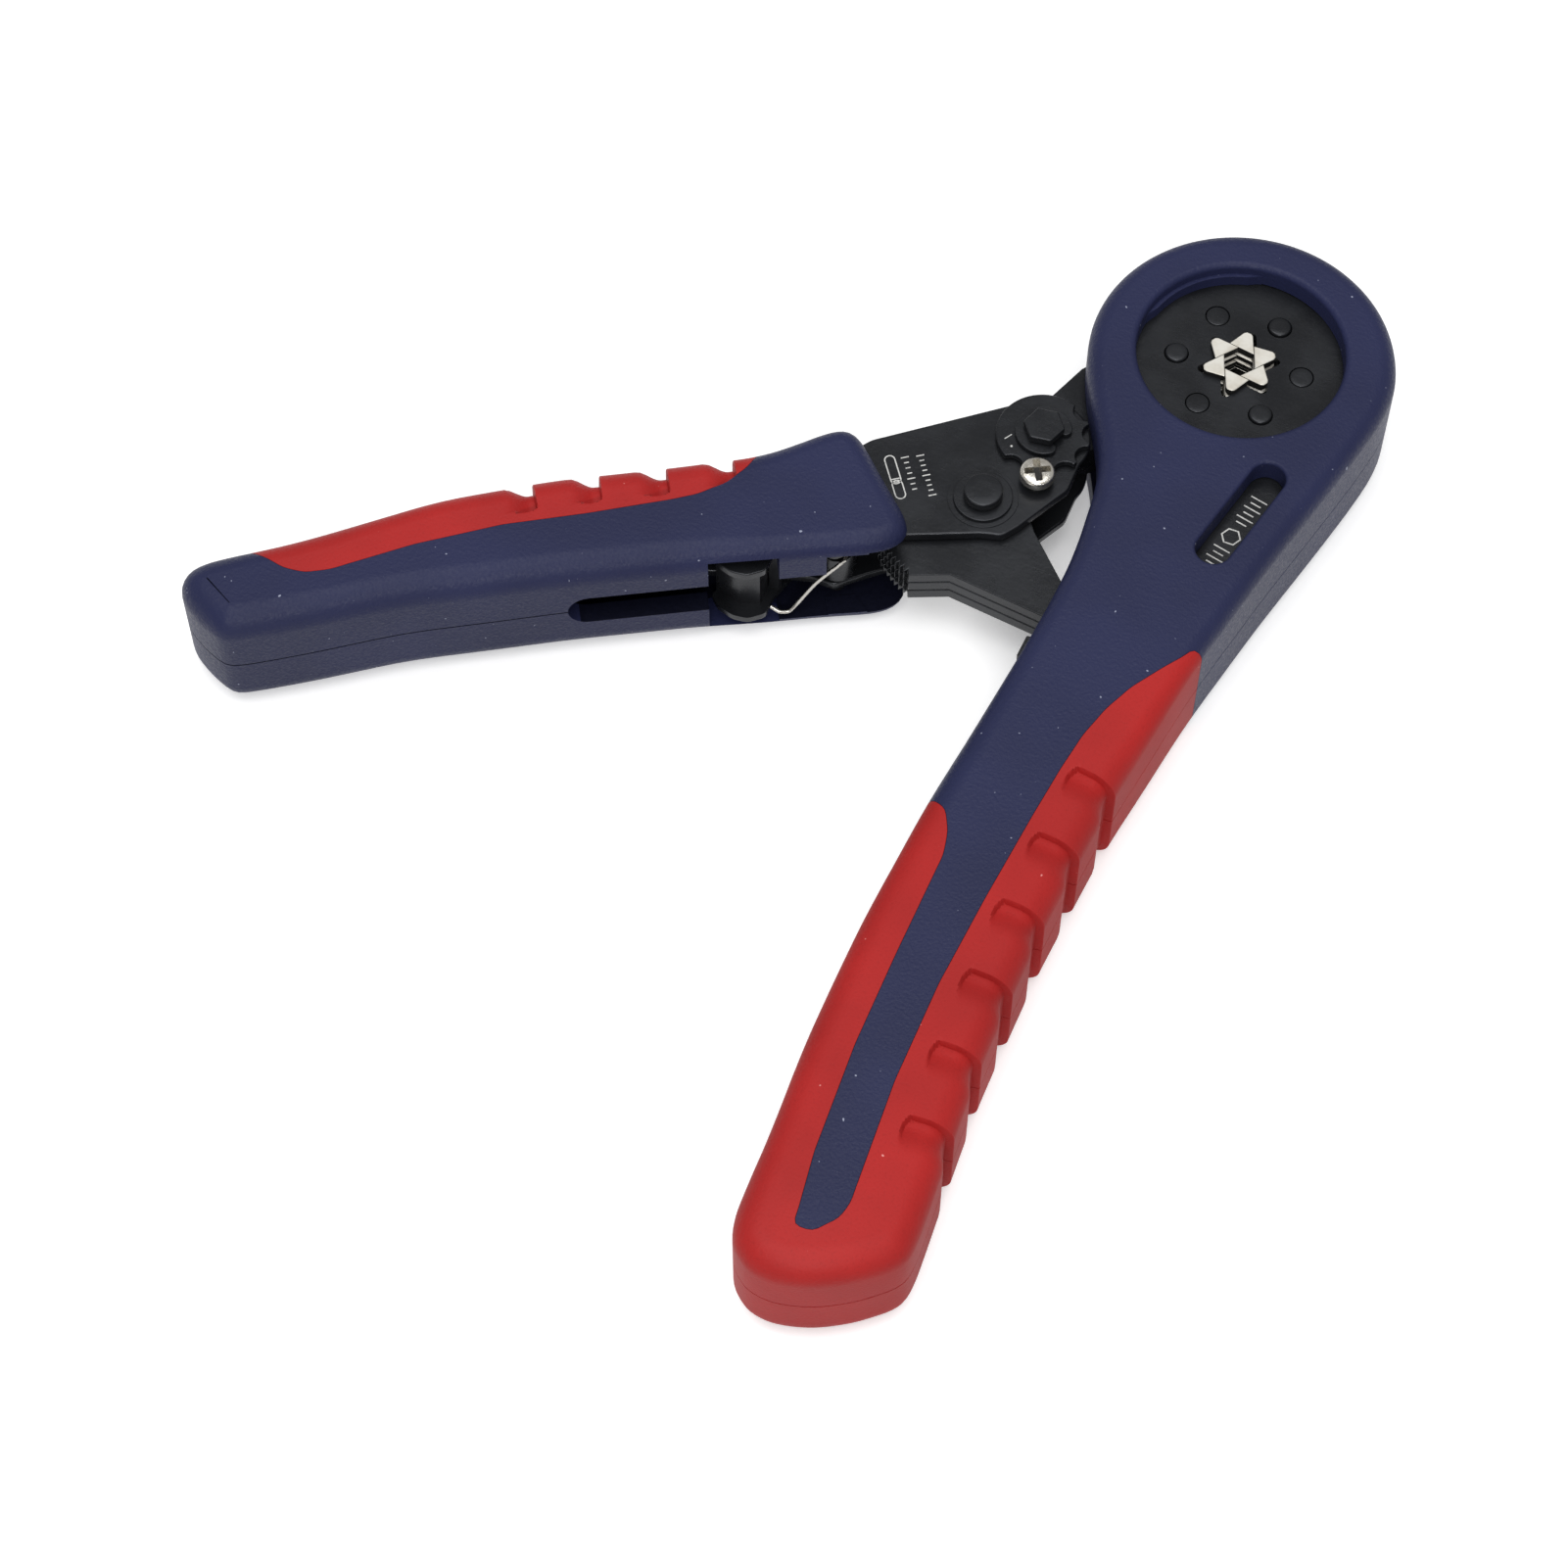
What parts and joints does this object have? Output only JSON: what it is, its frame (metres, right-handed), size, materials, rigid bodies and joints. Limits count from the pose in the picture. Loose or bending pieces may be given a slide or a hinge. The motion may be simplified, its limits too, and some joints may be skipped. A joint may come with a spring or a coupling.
{
  "type": "crimping tool",
  "caption": "Hand crimping tool for wire ferrules: a hexagonal iris of jaws in a round head, closed by a ratcheted squeeze handle with soft grips.",
  "frame": {"origin": "middle of the footprint, on the rear faces that the tool lies on", "axes": "+Y from the butt of the fixed handle to the head, +X away from the moving handle, +Z out of the front face along the crimping axis"},
  "size_m": [0.145, 0.1764, 0.02],
  "materials": {
    "navy_plastic": "moulded, fine grain",
    "red_rubber": "matte soft-touch, fine grain",
    "blackened_steel": "black oxide, satin",
    "ground_steel": "ground faces",
    "nickel": "bright nickel",
    "spring_steel": "bright drawn wire"
  },
  "bodies": {
    "frame": {"head_plate_front": "blackened_steel", "head_plate_rear": "blackened_steel", "frame_plate_front": "blackened_steel", "frame_plate_middle": "blackened_steel", "frame_plate_rear": "blackened_steel", "frame_liner_front": "blackened_steel", "frame_liner_rear": "blackened_steel", "fixed_shell_front": "navy_plastic", "fixed_shell_rear": "navy_plastic", "fixed_grip_front": "red_rubber", "fixed_grip_rear": "red_rubber", "jaw_pin_1": "blackened_steel", "jaw_pin_2": "blackened_steel", "jaw_pin_3": "blackened_steel", "jaw_pin_4": "blackened_steel", "jaw_pin_5": "blackened_steel", "jaw_pin_6": "blackened_steel", "frame_rivet_1": "blackened_steel", "frame_rivet_2": "blackened_steel", "frame_rivet_3": "blackened_steel"},
    "handle": {"handle_plate_front": "blackened_steel", "handle_plate_rear": "blackened_steel", "handle_spacer": "blackened_steel", "handle_rivet_1": "blackened_steel", "handle_rivet_2": "blackened_steel", "moving_shell_front": "navy_plastic", "moving_shell_rear": "navy_plastic", "moving_grip_front": "red_rubber", "moving_grip_rear": "red_rubber", "pivot_rivet": "blackened_steel", "pivot_washer_front": "blackened_steel", "pivot_washer_rear": "blackened_steel", "cam_pin": "blackened_steel", "adjusting_wheel": "blackened_steel", "retaining_clip": "blackened_steel", "lock_screw": "nickel", "pawl_pin": "blackened_steel", "lever_pin": "blackened_steel", "pawl_spring": "spring_steel"},
    "drive_ring": {"drive_ring": "blackened_steel"},
    "jaw_1": {"jaw_1": "ground_steel"},
    "jaw_2": {"jaw_2": "ground_steel"},
    "jaw_3": {"jaw_3": "ground_steel"},
    "jaw_4": {"jaw_4": "ground_steel"},
    "jaw_5": {"jaw_5": "ground_steel"},
    "jaw_6": {"jaw_6": "ground_steel"},
    "release_lever": {"release_lever": "blackened_steel"},
    "pawl": {"pawl": "blackened_steel"}
  },
  "joints": [
    {"name": "handle_close", "type": "hinge", "parent": "frame", "child": "handle", "pos_m": [0.02445, 0.03195, 0.01], "axis": [0, 0, 1], "range_deg": [0, 42], "stiffness_Nm_per_rad": 0.25, "springref_deg": -17.19},
    {"name": "ring_turn", "type": "hinge", "parent": "frame", "child": "drive_ring", "pos_m": [0.05065, 0.06575, 0.01], "axis": [0, 0, -1], "range_deg": [0, 4.93]},
    {"name": "jaw_1_turn", "type": "hinge", "parent": "frame", "child": "jaw_1", "pos_m": [0.05959, 0.06704, 0.01], "axis": [0, 0, -1], "range_deg": [0, 12.9]},
    {"name": "jaw_2_turn", "type": "hinge", "parent": "frame", "child": "jaw_2", "pos_m": [0.054, 0.07413, 0.01], "axis": [0, 0, -1], "range_deg": [0, 12.9]},
    {"name": "jaw_3_turn", "type": "hinge", "parent": "frame", "child": "jaw_3", "pos_m": [0.04507, 0.07285, 0.01], "axis": [0, 0, -1], "range_deg": [0, 12.9]},
    {"name": "jaw_4_turn", "type": "hinge", "parent": "frame", "child": "jaw_4", "pos_m": [0.04171, 0.06446, 0.01], "axis": [0, 0, -1], "range_deg": [0, 12.9]},
    {"name": "jaw_5_turn", "type": "hinge", "parent": "frame", "child": "jaw_5", "pos_m": [0.0473, 0.05737, 0.01], "axis": [0, 0, -1], "range_deg": [0, 12.9]},
    {"name": "jaw_6_turn", "type": "hinge", "parent": "frame", "child": "jaw_6", "pos_m": [0.05623, 0.05865, 0.01], "axis": [0, 0, -1], "range_deg": [0, 12.9]},
    {"name": "release_lever_press", "type": "hinge", "parent": "handle", "child": "release_lever", "pos_m": [-0.00015, 0.01675, 0.01], "axis": [0, 0, -1], "range_deg": [0, 7], "stiffness_Nm_per_rad": 0.02, "springref_deg": -20.05},
    {"name": "pawl_lift", "type": "hinge", "parent": "handle", "child": "pawl", "pos_m": [0.00805, 0.01815, 0.01], "axis": [0, 0, 1], "range_deg": [0, 15], "stiffness_Nm_per_rad": 0.01, "springref_deg": -20.05}
  ],
  "couplings": [
    {"joint": "ring_turn", "follows": "handle_close", "ratio": 0.11493},
    {"joint": "jaw_1_turn", "follows": "handle_close", "ratio": 0.30476},
    {"joint": "jaw_2_turn", "follows": "handle_close", "ratio": 0.30476},
    {"joint": "jaw_3_turn", "follows": "handle_close", "ratio": 0.30476},
    {"joint": "jaw_4_turn", "follows": "handle_close", "ratio": 0.30476},
    {"joint": "jaw_5_turn", "follows": "handle_close", "ratio": 0.30476},
    {"joint": "jaw_6_turn", "follows": "handle_close", "ratio": 0.30476},
    {"joint": "pawl_lift", "follows": "release_lever_press", "ratio": 2.1286}
  ]
}
